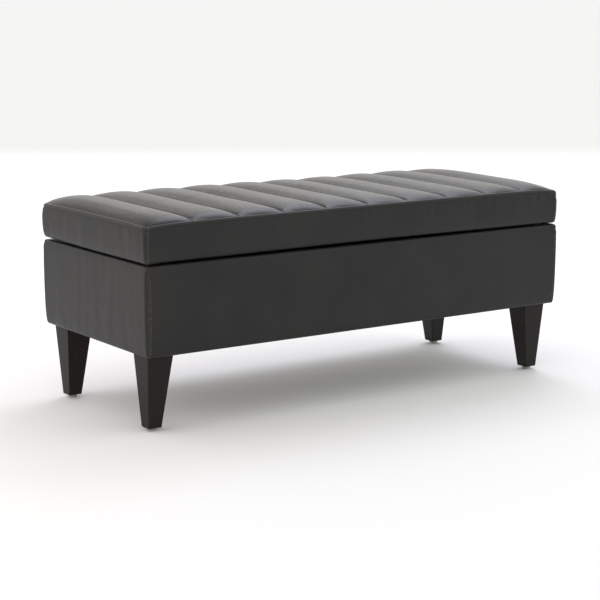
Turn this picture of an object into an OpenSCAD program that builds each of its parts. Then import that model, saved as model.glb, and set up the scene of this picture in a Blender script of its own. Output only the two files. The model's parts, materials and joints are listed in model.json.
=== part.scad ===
// Upholstered storage bench with a channelled seat lid on hinges and gas struts.
// Millimetres, +Z up. The origin is on the floor, under the middle of the bench.
// +X runs along the bench to its right-hand end, -Y is the front and +Y the hinge side.

/* [Overall size] */
// Length of the bench over its covers
bench_l = 1120; // [1000:10:1300]
// Depth of the bench over its covers
bench_d = 466; // [440:2:520]
// Height of the lower edge of the box above the floor
box_base_z = 165; // [150:1:200]
// Height of the box over its covers
box_h = 192; // [190:1:230]
// Gap between the rim of the box and the lid
lid_gap = 6; // [6:0.5:8]
// Height of the side bands of the lid
band_h = 78; // [74:1:90]
// Rise of the seat above the side bands
crown_h = 19; // [16:1:24]

/* [Boards and upholstery] */
// Thickness of the boards of the box and of the lid
board_t = 15; // [13:0.5:16]
// Thickness of the leather covers
cover_t = 1.2; // [0.8:0.1:1.4]
// Thickness of the wadding on the outside of the box
wadding_t = 5; // [4:0.5:6]
// Thickness of the wadding over the rim
rim_wadding_t = 3; // [3:0.5:5]
// Thickness of the wadding round the lid
lid_wadding_t = 7.8; // [7:0.2:9]
// Thickness of the linings and of the dust cover
lining_t = 1; // [0.5:0.1:1]
// How far the covers turn down inside the rim
rim_turn = 35; // [20:1:50]
// How far the covers turn in under the box
box_turn = 20; // [16:1:20]
// How far the bands turn in under the lid
lid_turn = 30; // [28:1:34]

/* [Soft edges] */
// Radius of the upright corners
corner_r = 8.4; // [8:0.2:12]
// Radius along the rim of the box
rim_r = 8; // [7:0.5:9]
// Radius along the lower edge of the box
base_r = 6; // [4:0.5:6]
// Radius along the lower edge of the lid
lid_low_r = 10; // [8:0.5:11]

/* [Channelled seat] */
// Number of channels sewn across the seat
channel_count = 10; // [6:1:14]
// Depth of the grooves between channels
groove_depth = 9; // [5:0.5:12]
// Distance from the edge over which the seat rises to its full height
crown_run = 95; // [60:5:120]
// Height of the channel pads at the grooves
channel_pad_h = 16; // [12:1:20]

/* [Legs and glides] */
// Width of a leg at the top
leg_top_w = 61.4; // [50:0.2:64]
// Width of a leg at the foot
leg_foot_w = 31; // [26:0.5:40]
// Distance from the end of the bench to the top of a leg
leg_end_inset = 14.5; // [12:0.5:20]
// Distance from the front or back of the bench to the top of a leg
leg_side_inset = 23.4; // [20:0.2:30]
// How far the foot of a leg stands out beyond its top, along the bench
leg_splay = 6.8; // [0:0.2:10]
// Diameter of a glide
glide_d = 21; // [18:0.5:24]
// Height of a glide
glide_h = 7; // [5:0.5:9]

/* [Hinges] */
// Distance from one hinge to the next
hinge_pitch = 400; // [250:10:430]
// Length of a hinge
hinge_len = 76; // [60:2:90]
// Diameter of the knuckles
knuckle_d = 5.4; // [5:0.1:5.4]
// Diameter of the hinge pins
hinge_pin_d = 2.8; // [2.4:0.1:3]
// Thickness of a hinge leaf
leaf_t = 1.3; // [1:0.1:1.3]
// Distance from the hinge pin to the front edge of a leaf
leaf_reach = 17; // [16:0.5:18]
// Distance from the hinge pin to the back of the bench
hinge_back = 4.5; // [4:0.5:5]

/* [Gas struts] */
// Distance from the hinge pins to each end of a strut
strut_arm = 160; // [150:1:160]
// Angle of the lower pivot below the level of the hinge pins
strut_low_angle = 79.5; // [78:0.5:79.5]
// Angle of the upper pivot below the level of the hinge pins
strut_high_angle = 4; // [4:0.5:6]
// Outer diameter of a strut tube
tube_d = 15; // [14:0.5:15]
// Diameter of a strut rod
rod_d = 6; // [5:0.5:8]
// Diameter of the studs that the struts turn on
stud_d = 8; // [6:0.5:8]

/* [Clearances] */
// Radial clearance of pins, studs and rods
running_gap = 0.075; // [0.05:0.005:0.1]
// Radial clearance round screws and bolts
screw_gap = 0.06; // [0.05:0.01:0.1]

/* [Hidden] */
$fn = 48;

leather = "#2b2927";
ply = "#c9a777";
stained_wood = "#2a2220";
polyester = "#e6e4df";
foam = "#e8dfb4";
cloth = "#1c1c1d";
zinc = "#b9bbbd";
steel = "#8f9296";
black_steel = "#26272a";
rubber = "#161616";

// depths into a wall, counted from its outer face
panel_in = cover_t + wadding_t;
wall_in = panel_in + board_t;
flap_in = wall_in + cover_t;
lid_board_in = cover_t + lid_wadding_t;

// heights
rim_z = box_base_z + box_h;
panel_base_z = box_base_z + cover_t;
panel_top_z = rim_z - cover_t - rim_wadding_t;
floor_z = panel_base_z + board_t;
flap_z = rim_z - rim_turn;
lid_z = rim_z + lid_gap;
lid_board_z = lid_z + cover_t;
foam_z = lid_board_z + board_t;
seam_z = lid_z + band_h;
seat_z = seam_z + crown_h;
seat_edge_h = 2;
channel_pad_z = seat_z - groove_depth - channel_pad_h;
channel_w = bench_l / channel_count;
pad_gap = 2;

// legs
leg_x = bench_l / 2 - leg_end_inset - leg_top_w / 2;
leg_y = bench_d / 2 - leg_side_inset - leg_top_w / 2;
foot_x = leg_x + leg_splay;
foot_y = leg_y;
bolt_d = 8;
bolt_depth = 45;
nail_d = 3;
nail_len = 18;
tee_flange_d = 20;
tee_flange_t = 1.5;
tee_barrel_d = 10;
tee_barrel_h = 11;
tee_top_z = floor_z;

// hinges
hinge_y = bench_d / 2 - hinge_back;
hinge_z = rim_z + lid_gap / 2;
hinge_xs = [-hinge_pitch, 0, hinge_pitch];
hinge_screw_step = 26;
hinge_screw_y = hinge_y - 11.5;
hinge_screw_d = 3;
knuckle_count = 5;
knuckle_gap = 0.15;
leaf_notch = knuckle_d / 2 + 0.4;
hinge_screw_z = lid_gap / 2 - leaf_t;

// struts
strut_x = bench_l / 2 - 32.7;
low_y = hinge_y - strut_arm * cos(strut_low_angle);
low_z = hinge_z - strut_arm * sin(strut_low_angle);
high_y = hinge_y - strut_arm * cos(strut_high_angle);
high_z = hinge_z - strut_arm * sin(strut_high_angle);
strut_len = norm([high_y - low_y, high_z - low_z]);
strut_lean = atan2(low_y - high_y, high_z - low_z);
eye_w = 10;
eye_d = 14;
neck_d = 9;
neck_len = 13;
tube_len = 158;
tube_wall = 1;
tube_plug = 8;
guide_len = 10;
piston_len = 8;
piston_z = neck_len + tube_plug + 3;
stud_head_d = 11;
stud_head_t = 1.5;
stud_side_gap = 0.4;
rivet_d = 5;
bracket_t = 2;
bracket_w = 22;
bracket_h = 36;
foot_l = 28;
foot_w = 30;
strut_screw_d = 3.5;
wall_x = bench_l / 2 - wall_in - lining_t;
bracket_gap = 5;
lid_bracket_x = strut_x - eye_w / 2 - bracket_gap;
lid_collar = bracket_gap - stud_side_gap;
box_collar = wall_x - bracket_t - strut_x - eye_w / 2 - stud_side_gap;

// screw lengths
box_screw_len = 22;
lid_screw_len = 14;
bracket_screw_len = 14;

// Points of an arc round [x, y] from angle a0 to angle a1
function arc(x, y, r, a0, a1) =
    [for (i = [0:6]) let (a = a0 + (a1 - a0) * i / 6) [x + r * cos(a), y + r * sin(a)]];

// Outline of width w from y0 to y1, with rounded lower and upper corners
function soft_outline(w, y0, y1, low_r, high_r) = concat(
    arc(w / 2 - low_r, y0 + low_r, low_r, -90, 0),
    arc(w / 2 - high_r, y1 - high_r, high_r, 0, 90),
    arc(high_r - w / 2, y1 - high_r, high_r, 90, 180),
    arc(low_r - w / 2, y0 + low_r, low_r, 180, 270)
);

// Extrusions centred on the origin, along the bench and across it
module along_bench(length) {
    rotate([90, 0, 90]) translate([0, 0, -length / 2]) linear_extrude(length) children();
}

module across_bench(length) {
    rotate([90, 0, 0]) translate([0, 0, -length / 2]) linear_extrude(length) children();
}

// Block of the bench's outline less inset all round, with soft edges
module soft_block(inset, z0, z1, low_r, high_r) {
    l = bench_l - 2 * inset;
    d = bench_d - 2 * inset;
    r = max(corner_r - inset, 0.5);
    intersection() {
        translate([0, 0, z0]) linear_extrude(z1 - z0) polygon(soft_outline(l, -d / 2, d / 2, r, r));
        across_bench(d + 2) polygon(soft_outline(l, z0, z1, low_r, high_r));
        along_bench(l + 2) polygon(soft_outline(d, z0, z1, low_r, high_r));
    }
}

// Square-edged block of the bench's outline less inset all round
module plain_block(inset, z0, z1) {
    l = bench_l - 2 * inset;
    d = bench_d - 2 * inset;
    translate([-l / 2, -d / 2, z0]) cube([l, d, z1 - z0]);
}

// Keeps the part of its children on one side: 0 front, 1 right, 2 back, 3 left, cut by mitres
module one_side(side) {
    turn = side * 90;
    long = side % 2 == 0 ? bench_l / 2 + 1 : bench_d / 2 + 1;
    out = side % 2 == 0 ? bench_d / 2 + 1 : bench_l / 2 + 1;
    depth = 60;
    intersection() {
        children();
        rotate([0, 0, turn]) linear_extrude(seat_z + 1)
            polygon([[-long, -out], [long, -out], [long - depth, depth - out], [depth - long, depth - out]]);
    }
}

// Countersunk screw along -Z with its head's face at z = 0
module screw(d, length, gap) {
    translate([0, 0, -length - gap]) cylinder(h = length + gap, d = d + 2 * gap);
    translate([0, 0, -d / 2]) cylinder(h = d / 2, d1 = d + 2 * gap, d2 = 2 * d + 2 * gap);
}

module both_ends() {
    children();
    mirror([1, 0, 0]) children();
}

module four_corners() {
    both_ends() {
        children();
        mirror([0, 1, 0]) children();
    }
}

// ---- Box ----

// Screws that hold the boards of the box together, or their holes
module carcass_screw_set(gap) {
    end_x = bench_l / 2 - panel_in - board_t / 2;
    face_y = bench_d / 2 - panel_in;
    face_x = bench_l / 2 - panel_in;
    edge_z = panel_base_z + board_t / 2;
    four_corners() {
        for (z = [panel_base_z + 75, panel_top_z - 30])
            translate([end_x, -face_y, z]) rotate([90, 0, 0]) screw(4, 40, gap);
        for (x = [110, 330])
            translate([x, -face_y, edge_z]) rotate([90, 0, 0]) screw(4, 40, gap);
        translate([face_x, -110, edge_z]) rotate([0, 90, 0]) screw(4, 40, gap);
    }
}

module carcass_screws() {
    color(zinc) carcass_screw_set(0);
}

// Hinge screws for the box (side -1, pointing down) or for the lid (side 1, pointing up)
module hinge_screw_set(side, length, gap) {
    for (x = hinge_xs, step = [-1, 0, 1])
        translate([x + step * hinge_screw_step, hinge_screw_y, hinge_z + side * hinge_screw_z])
            rotate([side < 0 ? 0 : 180, 0, 0]) screw(hinge_screw_d, length, gap);
}

// Screws of the strut brackets on the end boards
module strut_box_screw_set(gap) {
    both_ends() for (dz = [-12, 12])
        translate([wall_x - bracket_t, low_y, low_z + dz]) rotate([0, -90, 0])
            screw(strut_screw_d, bracket_screw_len, gap);
}

// Screws of the strut brackets on the lid
module strut_lid_screw_set(gap) {
    both_ends() for (dy = [-9, 9])
        translate([lid_bracket_x - 15, high_y + dy, lid_board_z - lining_t - bracket_t])
            rotate([180, 0, 0]) screw(strut_screw_d, bracket_screw_len, gap);
}

module long_panel(side) {
    l = bench_l - 2 * panel_in;
    y = bench_d / 2 - panel_in - board_t / 2;
    translate([-l / 2, side * y - board_t / 2, panel_base_z]) cube([l, board_t, panel_top_z - panel_base_z]);
}

module front_panel() {
    color(ply) difference() {
        long_panel(-1);
        carcass_screw_set(screw_gap);
    }
}

module back_panel() {
    color(ply) difference() {
        long_panel(1);
        carcass_screw_set(screw_gap);
        hinge_screw_set(-1, box_screw_len, screw_gap);
    }
}

module end_panel(side) {
    d = bench_d - 2 * wall_in;
    x = bench_l / 2 - panel_in - board_t / 2;
    color(ply) difference() {
        translate([side * x - board_t / 2, -d / 2, panel_base_z]) cube([board_t, d, panel_top_z - panel_base_z]);
        carcass_screw_set(screw_gap);
        strut_box_screw_set(screw_gap);
    }
}

module left_panel() {
    end_panel(-1);
}

module right_panel() {
    end_panel(1);
}

module bottom_panel() {
    color(ply) difference() {
        plain_block(wall_in, panel_base_z, floor_z);
        carcass_screw_set(screw_gap);
        four_corners() translate([leg_x, leg_y, 0]) {
            translate([0, 0, panel_base_z - 1]) cylinder(h = board_t + 2, d = tee_barrel_d + 2 * screw_gap);
            translate([0, 0, floor_z - tee_flange_t])
                cylinder(h = tee_flange_t + 1, d = tee_flange_d + 2 * screw_gap);
        }
    }
}

module box_wadding(side) {
    color(polyester) difference() {
        one_side(side) difference() {
            soft_block(cover_t, panel_base_z, rim_z - cover_t, base_r - cover_t, rim_r - cover_t);
            plain_block(panel_in, panel_base_z - 1, panel_top_z);
            plain_block(wall_in, panel_base_z - 1, rim_z);
        }
        hinge_screw_set(-1, box_screw_len, screw_gap);
    }
}

module front_wadding() {
    box_wadding(0);
}

module right_wadding() {
    box_wadding(1);
}

module back_wadding() {
    box_wadding(2);
}

module left_wadding() {
    box_wadding(3);
}

// One cover of the box: over the wall, down inside the rim and in under the lower edge
module box_cover(side) {
    color(leather) difference() {
        one_side(side) {
            difference() {
                soft_block(0, box_base_z, rim_z, base_r, rim_r);
                soft_block(cover_t, panel_base_z, rim_z - cover_t, base_r - cover_t, rim_r - cover_t);
                plain_block(flap_in, panel_top_z, rim_z + 1);
                plain_block(box_turn, box_base_z - 1, panel_base_z + 1);
            }
            difference() {
                plain_block(wall_in, flap_z, rim_z - cover_t);
                plain_block(flap_in, flap_z - 1, rim_z);
            }
        }
        hinge_screw_set(-1, box_screw_len, screw_gap);
    }
}

module front_cover() {
    box_cover(0);
}

module right_cover() {
    box_cover(1);
}

module back_cover() {
    box_cover(2);
}

module left_cover() {
    box_cover(3);
}

module wall_lining() {
    color(cloth) difference() {
        plain_block(wall_in, floor_z, flap_z);
        plain_block(wall_in + lining_t, floor_z - 1, flap_z + 1);
        strut_box_screw_set(screw_gap);
    }
}

module floor_lining() {
    color(cloth) plain_block(wall_in + lining_t, floor_z, floor_z + lining_t);
}

module dust_cover() {
    color(cloth) difference() {
        plain_block(box_turn, panel_base_z - lining_t, panel_base_z);
        four_corners() translate([leg_x, leg_y, box_base_z - 1]) cylinder(h = 4, d = tee_barrel_d + 2);
    }
}

// Ring of staple crowns just under z, inset from the edges of the bench, no further along it than reach
module staple_ring(inset, z, reach) {
    crown = [12, 1.2, 0.6];
    pitch = 52;
    run_x = bench_l / 2 - inset;
    run_y = bench_d / 2 - inset;
    for (side = [-1, 1], i = [-9:9])
        if (abs(i * pitch) < reach)
            translate([i * pitch - crown.x / 2, side * run_y - crown.y / 2, z - crown.z]) cube(crown);
    for (side = [-1, 1], i = [-2:2])
        translate([side * run_x - crown.y / 2, i * pitch - crown.x / 2, z - crown.z])
            cube([crown.y, crown.x, crown.z]);
}

module dust_cover_staples() {
    leg_side = leg_x - leg_top_w / 2 - 8;
    color(zinc) staple_ring(box_turn + 6, panel_base_z - lining_t, leg_side);
}

// Square leg that tapers to the foot; its bores take the hanger bolt and the nail of the glide
module corner_leg() {
    height = box_base_z - glide_h;
    difference() {
        translate([0, 0, glide_h]) intersection() {
            across_bench(bench_d) polygon([
                [leg_x - leg_top_w / 2, height],
                [foot_x - leg_foot_w / 2, 0],
                [foot_x + leg_foot_w / 2, 0],
                [leg_x + leg_top_w / 2, height]
            ]);
            along_bench(bench_l * 2) polygon([
                [leg_y - leg_top_w / 2, height],
                [foot_y - leg_foot_w / 2, 0],
                [foot_y + leg_foot_w / 2, 0],
                [leg_y + leg_top_w / 2, height]
            ]);
        }
        translate([leg_x, leg_y, box_base_z - bolt_depth - 1])
            cylinder(h = bolt_depth + 2, d = bolt_d + 2 * screw_gap);
        translate([foot_x, foot_y, glide_h - 1]) cylinder(h = nail_len + 2, d = nail_d + 2 * screw_gap);
    }
}

// A leg at the left or right (x_side) and at the front or rear (y_side)
module leg_at(x_side, y_side) {
    color(stained_wood) mirror([x_side < 0 ? 1 : 0, 0, 0]) mirror([0, y_side < 0 ? 1 : 0, 0]) corner_leg();
}

module leg_front_left() {
    leg_at(-1, -1);
}

module leg_front_right() {
    leg_at(1, -1);
}

module leg_rear_left() {
    leg_at(-1, 1);
}

module leg_rear_right() {
    leg_at(1, 1);
}

module hanger_bolts() {
    color(zinc) four_corners() translate([leg_x, leg_y, box_base_z - bolt_depth])
        cylinder(h = bolt_depth + tee_top_z - box_base_z - 0.5, d = bolt_d);
}

module tee_nuts() {
    color(zinc) four_corners() translate([leg_x, leg_y, 0]) difference() {
        union() {
            translate([0, 0, tee_top_z - tee_flange_t]) cylinder(h = tee_flange_t, d = tee_flange_d);
            translate([0, 0, tee_top_z - tee_barrel_h]) cylinder(h = tee_barrel_h, d = tee_barrel_d);
        }
        translate([0, 0, tee_top_z - tee_barrel_h - 1])
            cylinder(h = tee_barrel_h + 2, d = bolt_d + 2 * screw_gap);
    }
}

module leg_glides() {
    chamfer = 1;
    color("silver") four_corners() translate([foot_x, foot_y, 0]) {
        cylinder(h = chamfer, d1 = glide_d - 2 * chamfer, d2 = glide_d);
        translate([0, 0, chamfer]) cylinder(h = glide_h - chamfer, d = glide_d);
        cylinder(h = glide_h + nail_len, d = nail_d);
    }
}

// ---- Hinges ----

// Leaf of one hinge, with its knuckles: side -1 on the box, 1 on the lid. Origin on the hinge pin.
module hinge_leaf(side) {
    step = hinge_len / knuckle_count;
    plate_z = side < 0 ? -lid_gap / 2 : lid_gap / 2 - leaf_t;
    first = side < 0 ? 0 : 1;
    difference() {
        union() {
            translate([-hinge_len / 2, -leaf_reach, plate_z]) cube([hinge_len, leaf_reach - leaf_notch, leaf_t]);
            for (i = [first:2:knuckle_count - 1]) translate([i * step - hinge_len / 2 + knuckle_gap, 0, 0]) {
                translate([0, -leaf_notch - 0.5, plate_z])
                    cube([step - 2 * knuckle_gap, leaf_notch + 0.5, leaf_t]);
                rotate([0, 90, 0]) cylinder(h = step - 2 * knuckle_gap, d = knuckle_d);
            }
        }
        rotate([0, 90, 0]) translate([0, 0, -hinge_len])
            cylinder(h = 2 * hinge_len, d = hinge_pin_d + 2 * running_gap);
    }
}

module hinge_leaf_set(side, screw_len) {
    difference() {
        for (x = hinge_xs) translate([x, hinge_y, hinge_z]) hinge_leaf(side);
        hinge_screw_set(side, screw_len, screw_gap);
    }
}

module hinge_box_leaves() {
    color(zinc) hinge_leaf_set(-1, box_screw_len);
}

module hinge_lid_leaves() {
    color(zinc) hinge_leaf_set(1, lid_screw_len);
}

module hinge_pins() {
    head_t = 0.8;
    color(zinc) for (x = hinge_xs) translate([x - hinge_len / 2, hinge_y, hinge_z]) rotate([0, 90, 0]) {
        cylinder(h = hinge_len, d = hinge_pin_d);
        translate([0, 0, -head_t]) cylinder(h = head_t, d = knuckle_d - 1);
        translate([0, 0, hinge_len]) cylinder(h = head_t, d = knuckle_d - 1);
    }
}

module hinge_box_screws() {
    color(zinc) hinge_screw_set(-1, box_screw_len, 0);
}

module hinge_lid_screws() {
    color(zinc) hinge_screw_set(1, lid_screw_len, 0);
}

module rim_bumpers() {
    bumper_d = 8;
    bumper_h = lid_gap - 0.2;
    color(rubber) both_ends() {
        translate([bench_l / 2 - 60, flap_in - 1 - bumper_d / 2 - bench_d / 2, rim_z])
            cylinder(h = bumper_h, d = bumper_d);
        translate([bench_l / 2 - flap_in + 1 + bumper_d / 2, -40, rim_z]) cylinder(h = bumper_h, d = bumper_d);
    }
}

// ---- Lid ----

// Height of the seat above its sewn edge, at a distance from that edge
function crown(s) = seat_edge_h + (crown_h - seat_edge_h) * (1 - pow(1 - min(s / crown_run, 1), 2.4));

// Section of the seat across the bench, from z0 up to the crown less drop
function crown_outline(z0, drop) = concat(
    [[bench_d / 2, z0]],
    [for (i = [0:8]) [bench_d / 2 - i * crown_run / 8, seam_z - drop + crown(i * crown_run / 8)]],
    [for (i = [8:-1:0]) [i * crown_run / 8 - bench_d / 2, seam_z - drop + crown(i * crown_run / 8)]],
    [[-bench_d / 2, z0]]
);

// Height lost to the grooves, at a place between one groove (0) and the next (1)
function groove(u) = groove_depth * pow(abs(2 * u - 1), 3);

// Section of the seat along the bench, scalloped by its channels
function scallop_outline(z0, drop) = concat(
    [[bench_l / 2, z0]],
    [for (i = [channel_count - 1:-1:0], k = [8:-1:1])
        [(i + k / 8) * channel_w - bench_l / 2, seat_z - drop - groove(k / 8)]],
    [[-bench_l / 2, seat_z - drop - groove(0)], [-bench_l / 2, z0]]
);

// The seat's crowned and channelled shape above z0, less drop all over and inset all round
module seat_shape(z0, drop, inset) {
    intersection() {
        soft_block(inset, z0, seat_z + 5, 0.5, 0.5);
        along_bench(bench_l + 2) polygon(crown_outline(z0 - 1, drop));
        across_bench(bench_d + 2) polygon(scallop_outline(z0 - 1, drop));
    }
}

module lid_board() {
    color(ply) difference() {
        soft_block(lid_board_in, lid_board_z, foam_z, 5, 1);
        hinge_screw_set(1, lid_screw_len, screw_gap);
        strut_lid_screw_set(screw_gap);
    }
}

module seat_foam() {
    color(foam) plain_block(lid_board_in, foam_z, channel_pad_z);
}

module lid_wadding() {
    color(polyester) difference() {
        soft_block(cover_t, lid_board_z, seam_z, lid_low_r - cover_t, 1);
        plain_block(lid_board_in, lid_board_z - 1, seam_z + 1);
    }
}

module channel_pads() {
    color(foam) difference() {
        seat_shape(channel_pad_z, cover_t, lid_board_in);
        for (i = [1:channel_count - 1])
            translate([i * channel_w - bench_l / 2 - pad_gap / 2, -bench_d / 2, channel_pad_z - 1])
                cube([pad_gap, bench_d, seat_z]);
    }
}

module seat_cover() {
    color(leather) difference() {
        seat_shape(seam_z, 0, 0);
        seat_shape(seam_z - 3, cover_t, cover_t);
    }
}

// One side band of the lid, turned in under the board
module lid_band(side) {
    color(leather) difference() {
        one_side(side) difference() {
            soft_block(0, lid_z, seam_z, lid_low_r, 0.5);
            soft_block(cover_t, lid_board_z, seam_z + 20, lid_low_r - cover_t, 1);
            plain_block(lid_turn, lid_z - 1, lid_board_z + 1);
        }
        hinge_screw_set(1, lid_screw_len, screw_gap);
    }
}

module front_band() {
    lid_band(0);
}

module right_band() {
    lid_band(1);
}

module back_band() {
    lid_band(2);
}

module left_band() {
    lid_band(3);
}

module lid_lining() {
    color(cloth) difference() {
        plain_block(lid_turn, lid_board_z - lining_t, lid_board_z);
        strut_lid_screw_set(screw_gap);
    }
}

module lid_staples() {
    bracket_side = lid_bracket_x - foot_l - 8;
    color(zinc) staple_ring(lid_turn + 6, lid_board_z - lining_t, bracket_side);
}

// ---- Gas struts ----

// Stud along +X: rivet tail, collar against the bracket at x = 0, journal for the eye, and head
module strut_stud(collar) {
    rotate([0, 90, 0]) {
        translate([0, 0, -bracket_t]) cylinder(h = bracket_t + 1, d = rivet_d);
        cylinder(h = collar, d = stud_head_d);
        translate([0, 0, collar]) cylinder(h = eye_w + 2 * stud_side_gap, d = stud_d);
        translate([0, 0, collar + eye_w + 2 * stud_side_gap]) cylinder(h = stud_head_t, d = stud_head_d);
    }
}

module strut_box_brackets() {
    color(black_steel) both_ends() difference() {
        translate([wall_x - bracket_t, low_y - bracket_w / 2, low_z - bracket_h / 2])
            cube([bracket_t, bracket_w, bracket_h]);
        translate([wall_x - bracket_t - 1, low_y, low_z]) rotate([0, 90, 0])
            cylinder(h = bracket_t + 2, d = rivet_d + 2 * screw_gap);
        strut_box_screw_set(screw_gap);
    }
}

module strut_box_studs() {
    color(steel) both_ends() translate([wall_x - bracket_t, low_y, low_z]) mirror([1, 0, 0]) strut_stud(box_collar);
}

module strut_box_screws() {
    color(zinc) strut_box_screw_set(0);
}

module strut_lid_brackets() {
    top_z = lid_board_z - lining_t;
    drop = top_z - high_z + 9;
    color(black_steel) both_ends() difference() {
        union() {
            translate([lid_bracket_x - bracket_t, high_y - bracket_w / 2, top_z - drop])
                cube([bracket_t, bracket_w, drop]);
            translate([lid_bracket_x - foot_l, high_y - foot_w / 2, top_z - bracket_t])
                cube([foot_l, foot_w, bracket_t]);
        }
        translate([lid_bracket_x - bracket_t - 1, high_y, high_z]) rotate([0, 90, 0])
            cylinder(h = bracket_t + 2, d = rivet_d + 2 * screw_gap);
        strut_lid_screw_set(screw_gap);
    }
}

module strut_lid_studs() {
    color(steel) both_ends() translate([lid_bracket_x, high_y, high_z]) strut_stud(lid_collar);
}

module strut_lid_screws() {
    color(zinc) strut_lid_screw_set(0);
}

// Places a strut's children: origin at the lower pivot, +Z towards the upper one
module at_strut(side) {
    mirror([side < 0 ? 1 : 0, 0, 0]) translate([strut_x, low_y, low_z]) rotate([strut_lean, 0, 0]) children();
}

// Eye across the strut, bored for a stud, with a neck that reaches along +Z
module strut_eye() {
    difference() {
        union() {
            rotate([0, 90, 0]) translate([0, 0, -eye_w / 2]) cylinder(h = eye_w, d = eye_d);
            translate([0, 0, stud_d / 2 + 1]) cylinder(h = neck_len - stud_d / 2 - 1, d = neck_d);
        }
        rotate([0, 90, 0]) translate([0, 0, -eye_w]) cylinder(h = 2 * eye_w, d = stud_d + 2 * running_gap);
    }
}

module strut_tube() {
    difference() {
        translate([0, 0, neck_len]) cylinder(h = tube_len, d = tube_d);
        translate([0, 0, neck_len + tube_plug]) cylinder(h = tube_len, d = tube_d - 2 * tube_wall);
    }
}

module strut_guide() {
    translate([0, 0, neck_len + tube_len - guide_len]) difference() {
        cylinder(h = guide_len, d = tube_d - 2 * tube_wall - 2 * running_gap);
        translate([0, 0, -1]) cylinder(h = guide_len + 2, d = rod_d + 2 * running_gap);
    }
}

module strut_rod() {
    translate([0, 0, piston_z]) {
        cylinder(h = piston_len, d = tube_d - 2 * tube_wall - 4 * running_gap);
        cylinder(h = strut_len - neck_len - piston_z, d = rod_d);
    }
}

module left_strut_tube() {
    color(black_steel) at_strut(-1) strut_tube();
}

module left_strut_guide() {
    color(rubber) at_strut(-1) strut_guide();
}

module left_strut_rod() {
    color(steel) at_strut(-1) strut_rod();
}

module left_tube_eye() {
    color(rubber) at_strut(-1) strut_eye();
}

module left_rod_eye() {
    color(rubber) at_strut(-1) translate([0, 0, strut_len]) mirror([0, 0, 1]) strut_eye();
}

module right_strut_tube() {
    color(black_steel) at_strut(1) strut_tube();
}

module right_strut_guide() {
    color(rubber) at_strut(1) strut_guide();
}

module right_strut_rod() {
    color(steel) at_strut(1) strut_rod();
}

module right_tube_eye() {
    color(rubber) at_strut(1) strut_eye();
}

module right_rod_eye() {
    color(rubber) at_strut(1) translate([0, 0, strut_len]) mirror([0, 0, 1]) strut_eye();
}

front_panel();
back_panel();
left_panel();
right_panel();
bottom_panel();
carcass_screws();
front_wadding();
back_wadding();
left_wadding();
right_wadding();
front_cover();
back_cover();
left_cover();
right_cover();
wall_lining();
floor_lining();
dust_cover();
dust_cover_staples();
leg_front_left();
leg_front_right();
leg_rear_left();
leg_rear_right();
hanger_bolts();
tee_nuts();
leg_glides();
hinge_box_leaves();
hinge_pins();
hinge_box_screws();
rim_bumpers();
strut_box_brackets();
strut_box_studs();
strut_box_screws();
lid_board();
seat_foam();
lid_wadding();
channel_pads();
seat_cover();
front_band();
back_band();
left_band();
right_band();
lid_lining();
lid_staples();
hinge_lid_leaves();
hinge_lid_screws();
strut_lid_brackets();
strut_lid_studs();
strut_lid_screws();
left_strut_tube();
left_strut_guide();
left_strut_rod();
left_tube_eye();
left_rod_eye();
right_strut_tube();
right_strut_guide();
right_strut_rod();
right_tube_eye();
right_rod_eye();
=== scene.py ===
"""Storage bench: a channelled faux-leather lid on a faux-leather box, with stained square legs.

Lengths are in millimetres until a mesh is made, where MM turns them to metres. The frame is the CAD
model's: origin on the floor under the middle, +X along the bench, -Y the front, +Z up.
"""

import json
import math

import bpy
import numpy as np
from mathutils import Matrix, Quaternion, Vector, noise


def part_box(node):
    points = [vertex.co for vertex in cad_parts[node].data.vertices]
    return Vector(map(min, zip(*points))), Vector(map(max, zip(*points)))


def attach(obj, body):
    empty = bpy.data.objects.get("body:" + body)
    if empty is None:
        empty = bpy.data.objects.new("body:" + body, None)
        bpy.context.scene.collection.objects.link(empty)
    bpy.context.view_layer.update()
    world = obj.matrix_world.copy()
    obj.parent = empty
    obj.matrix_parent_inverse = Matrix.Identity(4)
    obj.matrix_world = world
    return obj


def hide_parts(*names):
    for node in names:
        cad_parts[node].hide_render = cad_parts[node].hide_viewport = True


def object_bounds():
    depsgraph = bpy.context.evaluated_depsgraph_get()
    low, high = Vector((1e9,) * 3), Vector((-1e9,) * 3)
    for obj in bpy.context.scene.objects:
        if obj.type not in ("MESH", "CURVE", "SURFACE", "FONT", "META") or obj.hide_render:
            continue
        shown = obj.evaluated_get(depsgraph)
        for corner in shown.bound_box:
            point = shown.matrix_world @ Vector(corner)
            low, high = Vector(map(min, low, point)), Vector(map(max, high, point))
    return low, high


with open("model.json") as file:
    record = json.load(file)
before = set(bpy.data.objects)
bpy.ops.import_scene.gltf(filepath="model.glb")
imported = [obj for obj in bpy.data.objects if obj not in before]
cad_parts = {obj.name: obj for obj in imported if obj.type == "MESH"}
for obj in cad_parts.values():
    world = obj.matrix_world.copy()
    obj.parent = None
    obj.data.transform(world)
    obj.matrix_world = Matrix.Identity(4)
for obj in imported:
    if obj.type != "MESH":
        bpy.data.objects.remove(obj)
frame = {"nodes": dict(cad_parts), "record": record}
cad_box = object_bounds()

MM = 0.001


def cad_mm(node):
    """Lowest and highest corner of a CAD node, in millimetres."""
    low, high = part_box(node)
    return np.array(low) / MM, np.array(high) / MM


# ---------------------------------------------------------------- camera

VIEW_AZIMUTH = -34.6
VIEW_ELEVATION = 10.6
VIEW_ROLL = 0.1
VIEW_DISTANCE = 4.03
VIEW_TARGET = (-0.0218, 0.0, 0.197)
LENS = 104.5


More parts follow.
